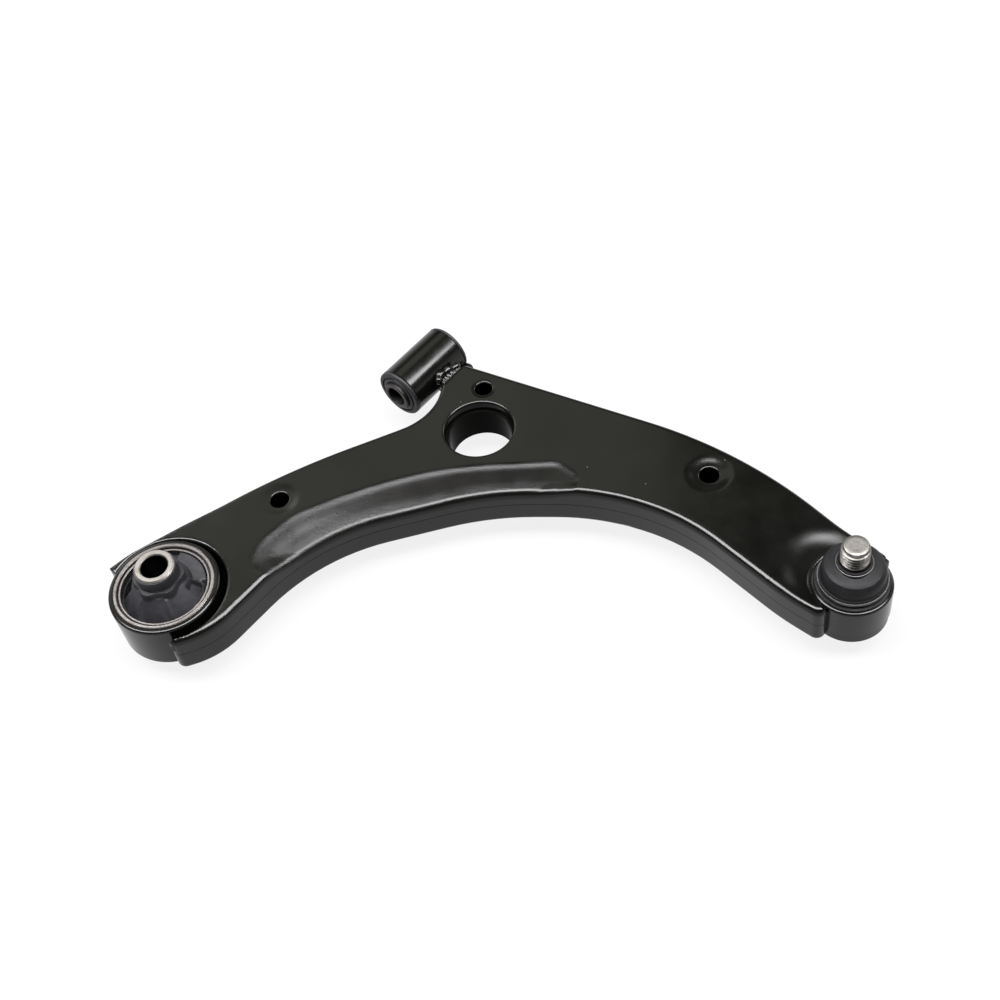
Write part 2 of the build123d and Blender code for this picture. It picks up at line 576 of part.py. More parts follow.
save(turned([
    (UPPER_RING_BORE, UPPER_RING_Z), (UPPER_RING_BORE + RING_WALL, UPPER_RING_Z),
    (UPPER_RING_BORE + RING_WALL, UPPER_RING_Z + RING_HEIGHT),
    (UPPER_RING_BORE, UPPER_RING_Z + RING_HEIGHT),
]), "boot_upper_ring")

# ---------------------------------------------------------------- weld beads
save(turned([
    (COLLAR_RADIUS, SCALLOP_Z), (COLLAR_RADIUS + BEAD, SCALLOP_Z),
    (COLLAR_RADIUS + BEAD * BEAD_SHOULDER, SCALLOP_Z + BEAD * BEAD_SHOULDER),
    (COLLAR_RADIUS, COLLAR_TOP_Z - COLLAR_BEAD_TOP),
], arc=COLLAR_BEAD_TURN, start=COLLAR_BEAD_START), "ball_collar_weld")

with BuildPart() as rear_housing_weld:
    with BuildSketch(upright(HOUSING_BEAD_START)):
        with BuildLine():
            Polyline((HOUSING_RADIUS, -ARM_DEPTH), (HOUSING_RADIUS + BEAD, -ARM_DEPTH),
                     (HOUSING_RADIUS + BEAD * BEAD_SHOULDER, -ARM_DEPTH - BEAD * BEAD_SHOULDER),
                     (HOUSING_RADIUS, -ARM_DEPTH - BEAD), close=True)
        make_face()
    revolve(axis=Axis.Z, revolution_arc=HOUSING_BEAD_TURN)
save(rear_housing_weld.part, "rear_housing_weld")

with BuildPart() as front_tube_weld:
    # one bead along the side of the tube and one under it
    for bead_up, bead_out in FRONT_BEADS:
        with BuildSketch(TUBE_PLANE.offset(FRONT_BEAD_START)):
            with Locations((bead_up, bead_out)):
                Circle(BEAD)
        extrude(amount=FRONT_BEAD_LENGTH)
    fillet(front_tube_weld.edges().filter_by(GeomType.CIRCLE), BEAD * BEAD_END_ROUND)
    with BuildSketch(TUBE_PLANE.offset(-TUBE_LENGTH / 2)):
        Circle(TUBE_RADIUS)
    extrude(amount=TUBE_LENGTH, mode=Mode.SUBTRACT)
    with BuildSketch(Plane.XY.offset(SEAM_Z)):
        add(UPPER_OUTER)
    extrude(amount=-SEAM_Z, mode=Mode.SUBTRACT)
    with BuildSketch(Plane.XY.offset(-ARM_DEPTH)):
        add(LOWER_OUTER)
    extrude(amount=ARM_DEPTH + LOWER_TOP_Z, mode=Mode.SUBTRACT)
save(front_tube_weld.part, "front_tube_weld")
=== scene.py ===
"""Front lower control arm, seen as in a studio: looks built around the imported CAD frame.

Lengths are millimetres in the CAD frame, and become metres when a mesh is made. Materials,
lamps and the camera's place are in metres. The origin is on the rear bush axis, level with
the flat top of the arm.
"""
import math

import bpy
import numpy as np
from mathutils import Matrix, Vector, geometry


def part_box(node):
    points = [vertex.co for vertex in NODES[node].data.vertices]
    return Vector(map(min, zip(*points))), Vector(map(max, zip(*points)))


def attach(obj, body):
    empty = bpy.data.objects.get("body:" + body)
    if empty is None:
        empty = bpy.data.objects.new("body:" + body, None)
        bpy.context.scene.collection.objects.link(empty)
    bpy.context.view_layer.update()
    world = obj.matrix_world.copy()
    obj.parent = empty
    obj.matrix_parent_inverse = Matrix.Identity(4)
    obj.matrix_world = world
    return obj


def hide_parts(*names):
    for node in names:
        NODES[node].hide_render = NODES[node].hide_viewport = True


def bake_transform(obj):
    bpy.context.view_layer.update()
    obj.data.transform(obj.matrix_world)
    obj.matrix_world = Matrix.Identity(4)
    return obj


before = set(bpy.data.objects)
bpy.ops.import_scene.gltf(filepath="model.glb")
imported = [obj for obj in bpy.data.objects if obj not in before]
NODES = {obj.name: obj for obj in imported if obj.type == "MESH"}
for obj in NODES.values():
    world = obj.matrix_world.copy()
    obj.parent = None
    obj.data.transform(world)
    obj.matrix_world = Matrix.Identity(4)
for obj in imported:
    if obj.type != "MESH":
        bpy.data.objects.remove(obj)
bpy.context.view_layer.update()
MM = 0.001

# ---------------------------------------------------------------- driving dimensions
SHEET = 2.5
SEAM_Z = -11.5
CLEAR = 0.05                   # gap that keeps touching surfaces apart
# rounding of the plate's top edge, place by place
EDGE_ROUND = 3.7               # inner curve
BACK_ROUND = 3.0               # outer edge
REAR_TAB_ROUND = 1.2           # outer edge where the plate hugs the rear bush
REAR_TAB_REACH = (37, 60)      # distances from the bush axis between which it changes
COLLAR_EDGE_ROUND = 0.35
OPENING_ROUND = 1.7
CENTRE_HOLE_ROUND = 1.2
HOLE_ROUND = 0.7
# heights where the plate's turned-down walls end
COLLAR_WALL_Z = -5.0
OPENING_WALL_Z = -8.0
CENTRE_HOLE_WALL_Z = -6.0

# round places as (centre, radius), and axes
OPENING = ((1.6, -1.9), 32.3)
BALL_AXIS = (354.4, 1.4)
COLLAR_RADIUS = 20.3
TUBE_CENTRE = np.array((120.7, 158.5, -9.0))
TUBE_ANGLE = 54.5
TUBE_RADIUS = 14.75
TUBE_HALF = 20.25
CENTRE_HOLE = ((158.8, 105.4), 19.5)
# centre, hole radius, outer radius of the pressed dish, its depth
TOOLING_HOLES = [
    ((52.9, 57.4), 5.2, 12.5, 0.5),
    ((158.9, 135.4), 4.9, 7.5, 0.25),
    ((284.9, 70.7), 5.3, 13.2, 1.2),
]


def polar(radius, degrees, centre=(0.0, 0.0)):
    a = math.radians(degrees)
    return (centre[0] + radius * math.cos(a), centre[1] + radius * math.sin(a))


# Corners and corner radii of the plate, from the rear bush along the inner curve to the
# ball joint and back along the outer edge past the front bush.
PLATE_CORNERS = [
    (polar(28, -75.6), 0), (polar(37.7, -75.6), 4.5),
    ((30.4, -29.2), 45), ((74.5, 33.7), 110), ((166.3, 60.9), 160), ((226.2, 59.9), 130),
    ((271.7, 41.5), 120), ((319.7, -5.8), 150), ((337.9, -19.6), 4.5),
    (polar(18.3, -128, BALL_AXIS), 0),
    (polar(18.3, 35, BALL_AXIS), 0), (polar(COLLAR_RADIUS + 2.9, 35, BALL_AXIS), 0),
    ((350.2, 36.0), 120), ((302.1, 87.8), 256),
    ((147.4, 154.7), 4), ((143.9, 154.0), 0), ((134.3, 139.5), 0), ((131.7, 115.8), 34),
    ((53.0, 78.2), 400),
    ((-24.6, 21.4), 60), ((-33.2, 12.2), 0), ((-27.1, 6.5), 0),
]
# Corners round the long pressed bead; its lower side lies past the plate's inner curve.
BEAD_CORNERS = [
    ((90.0, -10.0), 0), ((41.3, 10.8), 8), ((42.5, 27.0), 30), ((60.0, 48.0), 35),
    ((84.0, 60.0), 150), ((135.0, 80.0), 200), ((205.0, 83.0), 12), ((220.5, 70.0), 8),
    ((195.0, 25.0), 0),
]
# Cross-section of the bead by distance from its border: (change of slope, from, to). It is
# broad to the left and narrow to the right, with a last roll down to the inner curve.
BROAD_SLOPES = [(0.22, 0.0, 3.5), (-0.11, 3.5, 7.5), (0.08, 8.0, 12.0), (-0.10, 13.0, 17.0)]
NARROW_SLOPES = [(0.27, 0.0, 3.0), (-0.18, 3.0, 7.5)]
NARROWING_X = (64, 104)
ROLL_SLOPE, ROLL_WIDTH, ROLL_EASE = 0.07, 11.0, 5.0
SCALLOP = ((341.6, 9.7), 26.0, 1.9, 14.0)   # centre, outer radius, depth, width of its rim

# How finely the plate is meshed: steps in mm, degrees round its edges, and shares of the way
# across a dish and down a wall.
OUTLINE_STEP = 1.1
GRID_PITCH = 1.5
EDGE_ANGLES = (14, 28, 42, 55, 68, 80, 90)
DISH_SHARES = (0.12, 0.25, 0.4, 0.55, 0.7, 0.85, 1.0)
WALL_SHARES = (0.1, 0.3, 0.65, 1.0)


# ---------------------------------------------------------------- curve and mesh helpers
def fillet_path(corners, step, closed=True):
    """Points along a polygon whose corners are rounded, with straight runs subdivided."""
    count = len(corners)
    bent = []
    for i, (point, radius) in enumerate(corners):
        p = np.array(point, float)
        if radius == 0 or (not closed and i in (0, count - 1)):
            bent.append(p)
            continue
        before = np.array(corners[i - 1][0], float) - p
        after = np.array(corners[(i + 1) % count][0], float) - p
        room = min(np.linalg.norm(before), np.linalg.norm(after))
        before /= np.linalg.norm(before)
        after /= np.linalg.norm(after)
        half = math.acos(max(-1.0, min(1.0, float(before @ after)))) / 2
        reach = min(radius / math.tan(half), room * 0.98)
        radius = reach * math.tan(half)
        middle = (before + after) / np.linalg.norm(before + after)
        centre = p + middle * radius / math.sin(half)
        start, end = p + before * reach - centre, p + after * reach - centre
        turn = math.atan2(start[0] * end[1] - start[1] * end[0], float(start @ end))
        steps = max(3, int(abs(turn) * radius / step) + 1)
        for k in range(steps + 1):
            a = turn * k / steps
            bent.append(centre + (start[0] * math.cos(a) - start[1] * math.sin(a),
                                  start[0] * math.sin(a) + start[1] * math.cos(a)))
    path = []
    for i, p in enumerate(bent):
        path.append(p)
        if i == len(bent) - 1 and not closed:
            break
        q = bent[(i + 1) % len(bent)]
        cuts = int(np.linalg.norm(q - p) / step)
        path += [p + (q - p) * k / (cuts + 1) for k in range(1, cuts + 1)]
    return np.array(path)


def inside(points, loop):
    """Which points lie inside a closed loop."""
    result = np.zeros(len(points), bool)
    x, y = points[:, 0], points[:, 1]
    for a, b in zip(loop, np.roll(loop, -1, 0)):
        if a[1] != b[1]:
            crosses = (a[1] > y) != (b[1] > y)
            result ^= crosses & (x < (b[0] - a[0]) * (y - a[1]) / (b[1] - a[1]) + a[0])
    return result


def nearest(points, path, closed=True, batch=2000):
    """Distance from each point to a path, and the index of the nearest segment."""
    a = path if closed else path[:-1]
    b = np.roll(path, -1, 0) if closed else path[1:]
    d = b - a
    length2 = np.maximum((d * d).sum(1), 1e-12)
    best = np.empty(len(points))
    index = np.empty(len(points), int)
    for s in range(0, len(points), batch):
        p = points[s:s + batch, None, :]
        t = np.clip(((p - a) * d).sum(2) / length2, 0, 1)
        gap = np.linalg.norm(p - (a + t[..., None] * d), axis=2)
        index[s:s + batch] = gap.argmin(1)
        best[s:s + batch] = gap.min(1)
    return best, index


def smooth(x):
    x = np.clip(x, 0.0, 1.0)
    return x * x * (3 - 2 * x)


def ramp(x, low, high):
    return smooth((np.asarray(x, float) - low) / (high - low))


def build(name, points, faces, sharp=32.0):
    """A smooth-shaded mesh object from points in millimetres."""
    mesh = bpy.data.meshes.new(name)
    mesh.from_pydata([tuple(p) for p in np.asarray(points, float) * MM], [], faces)
    mesh.validate()
    mesh.shade_smooth()
    mesh.set_sharp_from_angle(angle=math.radians(sharp))
    made = bpy.data.objects.new(name, mesh)
    bpy.context.scene.collection.objects.link(made)
    return made


def finish_piece(piece, material, body, stands_for):
    """Gives a piece its finish, its body (unless it is blended) and the node it replaces."""
    piece.data.materials.clear()
    piece.data.materials.append(material)
    if body:
        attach(piece, body)
    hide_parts(stands_for)


def joined(*parts):
    """Points and faces of several parts as one mesh."""
    points, faces = [], []
    for part_points, part_faces in parts:
        first = len(points)
        points += [tuple(p) for p in part_points]
        faces += [tuple(first + i for i in f) for f in part_faces]
    return points, faces


def strips(columns, rows, close_columns=True, close_rows=True, flip=False):
    """Faces between neighbouring columns of points, each column with so many rows."""
    faces = []
    for c in range(columns if close_columns else columns - 1):
        n = (c + 1) % columns
        for k in range(rows if close_rows else rows - 1):
            m = (k + 1) % rows
            first, second, third, last = c * rows + k, n * rows + k, n * rows + m, c * rows + m
            faces.append((first, last, third, second) if flip else (first, second, third, last))
    return faces


UPRIGHT = np.eye(3)
TUBE_ALONG = np.array((*polar(1.0, TUBE_ANGLE), 0.0))
TUBE_OUT = np.array((TUBE_ALONG[1], -TUBE_ALONG[0], 0.0))
# columns: two directions across the axis, then the axis itself
ACROSS = np.column_stack((TUBE_OUT, (0.0, 0.0, -1.0), TUBE_ALONG))


def spun(profile, centre, axes=UPRIGHT, segments=144):
    """Points and faces of a closed profile of (radius, height) turned about an axis."""
    points = np.array([
        np.asarray(centre) + axes @ (r * math.cos(a), r * math.sin(a), h)
        for a in np.radians(360.0 * np.arange(segments) / segments) for r, h in profile
    ])
    return points, strips(segments, len(profile))


def turned_piece(name, corners, centre, axes=UPRIGHT, step=0.5, segments=144):
    """A closed turned piece whose profile corners are (radius, height, rounding)."""
    profile = fillet_path([((r, h), rounding) for r, h, rounding in corners], step)
    return build(name, *spun(profile, centre, axes, segments))


# ---------------------------------------------------------------- materials
def shader(name, colour, roughness, metallic=0.0, specular=0.5):
    made = bpy.data.materials.new(name)
    made.use_nodes = True
    bsdf = made.node_tree.nodes["Principled BSDF"]
    bsdf.inputs["Base Color"].default_value = (*colour, 1)
    bsdf.inputs["Roughness"].default_value = roughness
    bsdf.inputs["Metallic"].default_value = metallic
    bsdf.inputs["Specular IOR Level"].default_value = specular
    return made


def node(material, kind, **values):
    """A node whose sockets and settings are given by name."""
    made = material.node_tree.nodes.new(kind)
    for key, value in values.items():
        if key in made.inputs:
            made.inputs[key].default_value = value
        else:
            setattr(made, key, value)
    return made


def link(material, source, target):
    material.node_tree.links.new(source, target)


def plug(material, socket, source):
    link(material, source, material.node_tree.nodes["Principled BSDF"].inputs[socket])


def place(material, location=(0, 0, 0), rotation=(0, 0, 0)):
    """Object coordinates, moved so that a pattern is centred where it should be."""
    coords = node(material, "ShaderNodeTexCoord")
    mapping = node(material, "ShaderNodeMapping", vector_type="TEXTURE",
                   Location=location, Rotation=rotation)
    link(material, coords.outputs["Object"], mapping.inputs["Vector"])
    return mapping.outputs["Vector"]


def from_axis(material, where, centre=(0.0, 0.0)):
    """Distance from an upright axis."""
    moved = node(material, "ShaderNodeVectorMath", operation="SUBTRACT")
    moved.inputs[1].default_value = (centre[0] * MM, centre[1] * MM, 0)
    link(material, where, moved.inputs[0])
    flat = node(material, "ShaderNodeVectorMath", operation="MULTIPLY")
    flat.inputs[1].default_value = (1, 1, 0)
    link(material, moved.outputs["Vector"], flat.inputs[0])
    reach = node(material, "ShaderNodeVectorMath", operation="LENGTH")
    link(material, flat.outputs["Vector"], reach.inputs[0])
    return reach.outputs["Value"]


def noise_at(material, where, scale, detail=3.0, rough=0.55):
    made = node(material, "ShaderNodeTexNoise", Scale=scale, Detail=detail, Roughness=rough)
    link(material, where, made.inputs["Vector"])
    return made.outputs["Fac"]


def blend_colours(material, factor, first, second):
    """A colour between two others, or between a socket and a colour."""
    mix = node(material, "ShaderNodeMix", data_type="RGBA")
    link(material, factor, mix.inputs[0])
    for socket, value in ((mix.inputs[6], first), (mix.inputs[7], second)):
        if isinstance(value, tuple):
            socket.default_value = (*value, 1)
        else:
            link(material, value, socket)
    return mix.outputs[2]


def remap(material, source, span, onto=(0.0, 1.0)):
    """A value whose span becomes another one, held at both ends."""
    made = node(material, "ShaderNodeMapRange")
    for key, value in zip(("From Min", "From Max", "To Min", "To Max"), (*span, *onto)):
        made.inputs[key].default_value = value
    link(material, source, made.inputs["Value"])
    return made.outputs["Result"]


def maths(material, operation, *values):
    """A math node whose inputs are sockets or plain numbers."""
    made = node(material, "ShaderNodeMath", operation=operation)
    for socket, value in zip(made.inputs, values):
        if isinstance(value, float):
            socket.default_value = value
        else:
            link(material, value, socket)
    return made.outputs[0]


def bump(material, height, distance, strength, onto=None):
    made = node(material, "ShaderNodeBump", Distance=distance, Strength=strength)
    link(material, height, made.inputs["Height"])
    if onto is not None:
        link(material, onto, made.inputs["Normal"])
    return made.outputs["Normal"]


def specks(material, where, scale, size, share):
    """Sparse small dots: 1 on a dot and 0 elsewhere."""
    cells = node(material, "ShaderNodeTexVoronoi", Scale=scale)
    link(material, where, cells.inputs["Vector"])
    dot = remap(material, cells.outputs["Distance"], (size, size * 0.5))
    pick = node(material, "ShaderNodeSeparateColor")
    link(material, cells.outputs["Color"], pick.inputs["Color"])
    chosen = remap(material, pick.outputs["Red"], (1 - share, 1 - share + 0.02))
    return maths(material, "MULTIPLY", dot, chosen)


PAINT_SPECULAR = 0.3
# specular level inside the centre hole, lowered as painted shade
HOLE_SHADE_SPECULAR = 0.02
DUST = (0.07, 0.068, 0.06)
PIT_DUST = (0.05, 0.048, 0.046)
# painted shade for the inside of a bore
BORE_SHADE = (0.006, 0.006, 0.006)
BORE_SHADE_FADE = 0.25               # width of the border between the painted shade in a bore and its end face


def painted(name, pressed=False):
    """Semi-gloss black paint on pressed steel: orange peel, faint olive drift, dust. Pressed
    paint also has the fine grain of drawn sheet where the mesh asks for it."""
    made = shader(name, (0.0015, 0.0015, 0.0012), 0.3, specular=PAINT_SPECULAR)
    where = place(made)
    # the inside of the centre hole gets almost no reflection: painted shade that keeps it black
    centre, radius = CENTRE_HOLE
    plug(made, "Specular IOR Level",
         remap(made, from_axis(made, where, centre),
               ((radius - 0.1) * MM, (radius + 0.2) * MM), (HOLE_SHADE_SPECULAR, PAINT_SPECULAR)))
    drift = noise_at(made, where, scale=14.0, detail=2.0)
    colour = blend_colours(made, remap(made, drift, (0.35, 0.65)),
                           (0.0011, 0.0012, 0.0009), (0.0020, 0.0020, 0.0016))
    dust = specks(made, where, scale=95.0, size=0.035, share=0.16)
    colour = blend_colours(made, dust, colour, DUST)
    rough = remap(made, noise_at(made, where, scale=70.0, detail=4.0), (0.3, 0.7), (0.15, 0.22))
    peel = noise_at(made, where, scale=620.0, detail=2.0, rough=0.4)
    normal = bump(made, peel, distance=0.00003, strength=0.22)
    wave = noise_at(made, where, scale=55.0, detail=1.0)
    normal = bump(made, wave, distance=0.0006, strength=0.10, onto=normal)
    if pressed:
        grain = node(made, "ShaderNodeAttribute", attribute_name="press_grain").outputs["Fac"]
        coarse = noise_at(made, where, scale=900.0, detail=5.0, rough=0.75)
        normal = bump(made, maths(made, "MULTIPLY", coarse, grain),
                      distance=0.00022, strength=0.75, onto=normal)
        rough = maths(made, "MULTIPLY_ADD", grain, 0.10, rough)
    plug(made, "Base Color", colour)
    plug(made, "Roughness", rough)
    plug(made, "Normal", normal)
    return made


def turned_metal(name, colour, dark, roughness, location=(0, 0, 0), rotation=(0, 0, 0),
                 shaded_bore=0.0, grain=0.00002):
    """Bare turned steel with fine concentric tool marks and a little tarnish. The bore is painted
    dark, as painted shade, out to the given radius."""
    made = shader(name, colour, roughness, metallic=1.0)
    where = place(made, location, rotation)
    rings = node(made, "ShaderNodeTexWave", wave_type="RINGS", rings_direction="Z",
                 Scale=130.0, Distortion=1.2, Detail=3.0)
    link(made, where, rings.inputs["Vector"])
    stain = noise_at(made, where, scale=180.0, detail=5.0, rough=0.7)
    tone = blend_colours(made, remap(made, stain, (0.42, 0.68)), colour, dark)
    # painted shade: the bore goes black out to the given radius
    if shaded_bore:
        edge = (shaded_bore * MM, (shaded_bore + BORE_SHADE_FADE) * MM)
        tone = blend_colours(made, remap(made, from_axis(made, where), edge, (1, 0)), tone, BORE_SHADE)
    plug(made, "Base Color", tone)
    plug(made, "Roughness", remap(made, stain, (0.3, 0.7), (roughness * 0.8, roughness * 1.35)))
    normal = bump(made, rings.outputs["Fac"], distance=0.00003, strength=0.5)
    fine = noise_at(made, where, scale=1500.0)
    plug(made, "Normal", bump(made, fine, distance=grain, strength=0.4, onto=normal))
    return made


def moulded_rubber(name, colour, dusty, roughness=0.5, specular=0.25):
    """Moulded rubber: a fine matt grain, a pale bloom in patches and tiny pits."""
    made = shader(name, colour, roughness, specular=specular)
    where = place(made)
    bloom = noise_at(made, where, scale=130.0, detail=5.0, rough=0.65)
    tone = blend_colours(made, remap(made, bloom, (0.45, 0.75)), colour, dusty)
    dots = specks(made, where, scale=420.0, size=0.09, share=0.10)
    plug(made, "Base Color", blend_colours(made, dots, tone, PIT_DUST))
    plug(made, "Roughness", remap(made, bloom, (0.3, 0.7), (roughness * 0.85, roughness * 1.2)))
    normal = bump(made, noise_at(made, where, scale=1700.0), distance=0.00004, strength=0.35)
    swell = noise_at(made, where, scale=160.0, detail=2.0)
    plug(made, "Normal", bump(made, swell, distance=0.0003, strength=0.15, onto=normal))
    return made


BALL_PLACE = (BALL_AXIS[0] * MM, BALL_AXIS[1] * MM, 0)
TUBE_PLACE = tuple(TUBE_CENTRE * MM)
TUBE_TURN = (0, math.radians(90), math.radians(TUBE_ANGLE))

PAINT_PRESSED = painted("black_paint_pressed", pressed=True)
PAINT = painted("black_paint")
# the inner sleeve's bore gets painted shade
REAR_STEEL = turned_metal("rear_sleeve_steel", (0.20, 0.193, 0.18), (0.12, 0.11, 0.094), 0.42,
                          shaded_bore=7.2)
RING_STEEL = turned_metal("rear_ring_steel", (0.17, 0.162, 0.155), (0.07, 0.06, 0.056), 0.4)
TUBE_STEEL = turned_metal("front_sleeve_steel", (0.060, 0.058, 0.056), (0.03, 0.028, 0.026),
                          0.42, TUBE_PLACE, TUBE_TURN)
STUD_STEEL = turned_metal("stud_zinc", (0.17, 0.165, 0.155), (0.075, 0.07, 0.06), 0.40,
                          BALL_PLACE, grain=0.00012)
RING_WIRE = turned_metal("boot_ring_wire", (0.10, 0.10, 0.10), (0.06, 0.06, 0.058), 0.45,
                         BALL_PLACE)
DARK_STEEL = moulded_rubber("phosphated_steel", (0.008, 0.008, 0.0085),
                            (0.014, 0.014, 0.0145), 0.33)
RUBBER = moulded_rubber("bush_rubber", (0.007, 0.007, 0.0085), (0.015, 0.015, 0.018))
BOOT_RUBBER = moulded_rubber("boot_rubber", (0.002, 0.002, 0.0025),
                             (0.0045, 0.0046, 0.0053), specular=0.16)
SEAT_PLASTIC = moulded_rubber("seat_acetal", (0.72, 0.70, 0.62), (0.60, 0.57, 0.48), 0.45)


# ---------------------------------------------------------------- pressed upper shell
def circle_loop(centre, radius, step):
    count = max(24, int(2 * math.pi * radius / step))
    a = 2 * math.pi * np.arange(count) / count
    return np.column_stack((centre[0] + radius * np.cos(a), centre[1] + radius * np.sin(a)))


def clockwise_arc(centre, radius, start, end, step):
    """Points between two points of a circle, both left out, going clockwise."""
    a = math.atan2(start[1] - centre[1], start[0] - centre[0])
    b = math.atan2(end[1] - centre[1], end[0] - centre[0])
    turn = (a - b) % (2 * math.pi)
    count = max(2, int(turn * radius / step))
    angles = a - turn * np.arange(1, count) / count
    return np.column_stack((centre[0] + radius * np.cos(angles),
                            centre[1] + radius * np.sin(angles)))


def cross_circle(kept, left, centre, radius, halvings=40):
    """The point between a kept and a left-out point that lies on a circle."""
    low, high = np.array(kept, float), np.array(left, float)
    for _ in range(halvings):
        middle = (low + high) / 2
        if np.linalg.norm(middle - centre) > radius:
            low = middle
        else:
            high = middle
    return low


def plate_runs(step):
    """The plate's boundary as four open runs, walked with the plate on the left: the inner
    curve, the ball joint's collar, the outer edge and the opening over the rear bush."""
    outline = fillet_path(PLATE_CORNERS, step)
    rounds = ((np.array(OPENING[0]), OPENING[1]), (np.array(BALL_AXIS), COLLAR_RADIUS + CLEAR))
    keep = np.ones(len(outline), bool)
    for centre, radius in rounds:
        keep &= np.linalg.norm(outline - centre, axis=1) > radius
    count = len(keep)
    runs = []
    for first in range(count):
        if not keep[first] or keep[first - 1]:
            continue
        last = first
        while keep[(last + 1) % count]:
            last += 1
        run = [outline[i % count] for i in range(first, last + 1)]
        ends = []
        beyond_ends = (outline[first - 1], outline[(last + 1) % count])
        for end, beyond in zip((run[0], run[-1]), beyond_ends):
            centre, radius = min(rounds, key=lambda c: np.linalg.norm(beyond - c[0]) - c[1])
            ends.append(cross_circle(end, beyond, centre, radius))
        runs.append(np.array([ends[0]] + run + [ends[1]]))
    # short scraps between the two rounds are not edges of the plate
    runs = sorted((r for r in runs if len(r) > 20), key=lambda r: r[:, 1].mean())
    front, back = runs[0], runs[-1]
    collar = clockwise_arc(*rounds[1], front[-1], back[0], step)
    opening = clockwise_arc(*rounds[0], back[-1], front[0], step)
    return [front, collar, back, opening]


def eased(gap, low, high):
    """Drop of a surface whose slope eases from 0 at low to 1 at high and stays there."""
    u = np.clip((gap - low) / (high - low), 0.0, 1.0)
    return (high - low) * (u ** 3 - u ** 4 / 2) + np.maximum(gap - high, 0.0)


def bead_shape(points):
    """Drop of the long bead's surface below the plate, and how much of it is bead."""
    loop = fillet_path(BEAD_CORNERS, 1.5)
    gap = nearest(points, loop)[0] * inside(points, loop)
    broad, narrow = (sum(change * eased(gap, low, high) for change, low, high in slopes)
                     for slopes in (BROAD_SLOPES, NARROW_SLOPES))
    narrowed = ramp(points[:, 0], *NARROWING_X)
    drop = broad * (1 - narrowed) + narrow * narrowed
    to_edge = nearest(points, plate_runs(2.0)[0], closed=False)[0]
    drop += ROLL_SLOPE * eased(ROLL_WIDTH - to_edge, 0.0, ROLL_EASE) * ramp(gap, 6.0, 12.0)
    return drop, smooth(gap / 5.0)


def dish(points, centre, outer, depth, width):
    reach = np.linalg.norm(points - np.array(centre), axis=1)
    return depth * smooth((outer - reach) / width)


def plate_height(points):
    """Height of the pressed plate before its edges are rounded."""
    drop, _ = bead_shape(points)
    drop = drop + dish(points, *SCALLOP)
    for hole, radius, edge, deep in TOOLING_HOLES:
        drop = drop + dish(points, hole, edge, deep, edge - radius - HOLE_ROUND)
    return -drop


def quarter(gap, radius):
    """Drop of a quarter-round edge at a distance from the wall."""
    inset = np.clip(radius - gap, 0, radius)
    return radius - np.sqrt(np.maximum(radius ** 2 - inset ** 2, 0))


def spaced(points, gap):
    """Drops points that lie closer than gap to an earlier one."""
    taken, kept = {}, []
    for i, (x, y) in enumerate(points):
        column, row = int(x // gap), int(y // gap)
        near = any(
            (points[j][0] - x) ** 2 + (points[j][1] - y) ** 2 < gap * gap
            for dx in (-1, 0, 1) for dy in (-1, 0, 1)
            for j in taken.get((column + dx, row + dy), ())
        )
        if not near:
            taken.setdefault((column, row), []).append(i)
            kept.append(i)
    return points[kept]


def inset_rows(path, radius, side):
    """Points offset from a path by the insets of a quarter-round edge."""
    ahead = np.gradient(path, axis=0)
    ahead /= np.maximum(np.linalg.norm(ahead, axis=1), 1e-9)[:, None]
    normal = np.column_stack((-ahead[:, 1], ahead[:, 0])) * side
    insets = [1 - math.cos(math.radians(a)) for a in EDGE_ANGLES]
    return np.vstack([path + normal * (radius * i)[:, None] for i in insets])


def fill_points(runs, run_rounds, outer, holes):
    """Points inside the plate: rows along rounded edges and in dishes, and an even grid."""
    rows = [inset_rows(run, r, 1.0) for run, r in zip(runs, run_rounds)]
    rows += [inset_rows(loop, np.full(len(loop), r), -1.0) for loop, r, _ in holes]
    for hole, radius, edge, _ in TOOLING_HOLES:
        rows += [circle_loop(hole, radius + (edge - radius) * share, 1.0)
                 for share in DISH_SHARES]
    low, high = outer.min(0), outer.max(0)
    across = np.arange(low[0], high[0], GRID_PITCH)
    up = np.arange(low[1], high[1], GRID_PITCH * math.sqrt(3) / 2)
    grid = np.array([(x + (k % 2) * GRID_PITCH / 2, y) for k, y in enumerate(up) for x in across])

    def fitting(points, margin):
        points = points[inside(points, outer)]
        points = points[nearest(points, outer)[0] > margin]
        for loop, _, _ in holes:
            centre = loop.mean(0)
            clear = np.linalg.norm(loop[0] - centre) + margin
            points = points[np.linalg.norm(points - centre, axis=1) > clear]
        return points

    return spaced(np.vstack([fitting(np.vstack(rows), 0.09), fitting(grid, 0.8)]), 0.3)


def triangulated(loops, inner):
    """Flat points of the loops and inside them, and the triangles between the first loop and
    the others, which are holes."""
    flat = np.vstack(loops + [inner])
    edges, first = [], 0
    for loop in loops:
        edges += [(first + i, first + (i + 1) % len(loop)) for i in range(len(loop))]
        first += len(loop)
    found = geometry.delaunay_2d_cdt([Vector(p) for p in flat], edges, [], 0, 1e-6, True)
    if len(found[0]) != len(flat):
        raise ValueError("the plate's points were merged by the triangulation")
    points = np.empty_like(flat)
    for v, sources in zip(found[0], found[3]):
        points[sources[0]] = v
    order = [sources[0] for sources in found[3]]
    faces = np.array([[order[i] for i in f] for f in found[2] if len(f) == 3])
    middle = points[faces].mean(1)
    good = inside(middle, loops[0])
    for loop in loops[1:]:
        good &= ~inside(middle, loop)
    return points, [tuple(f) for f in faces[good]]


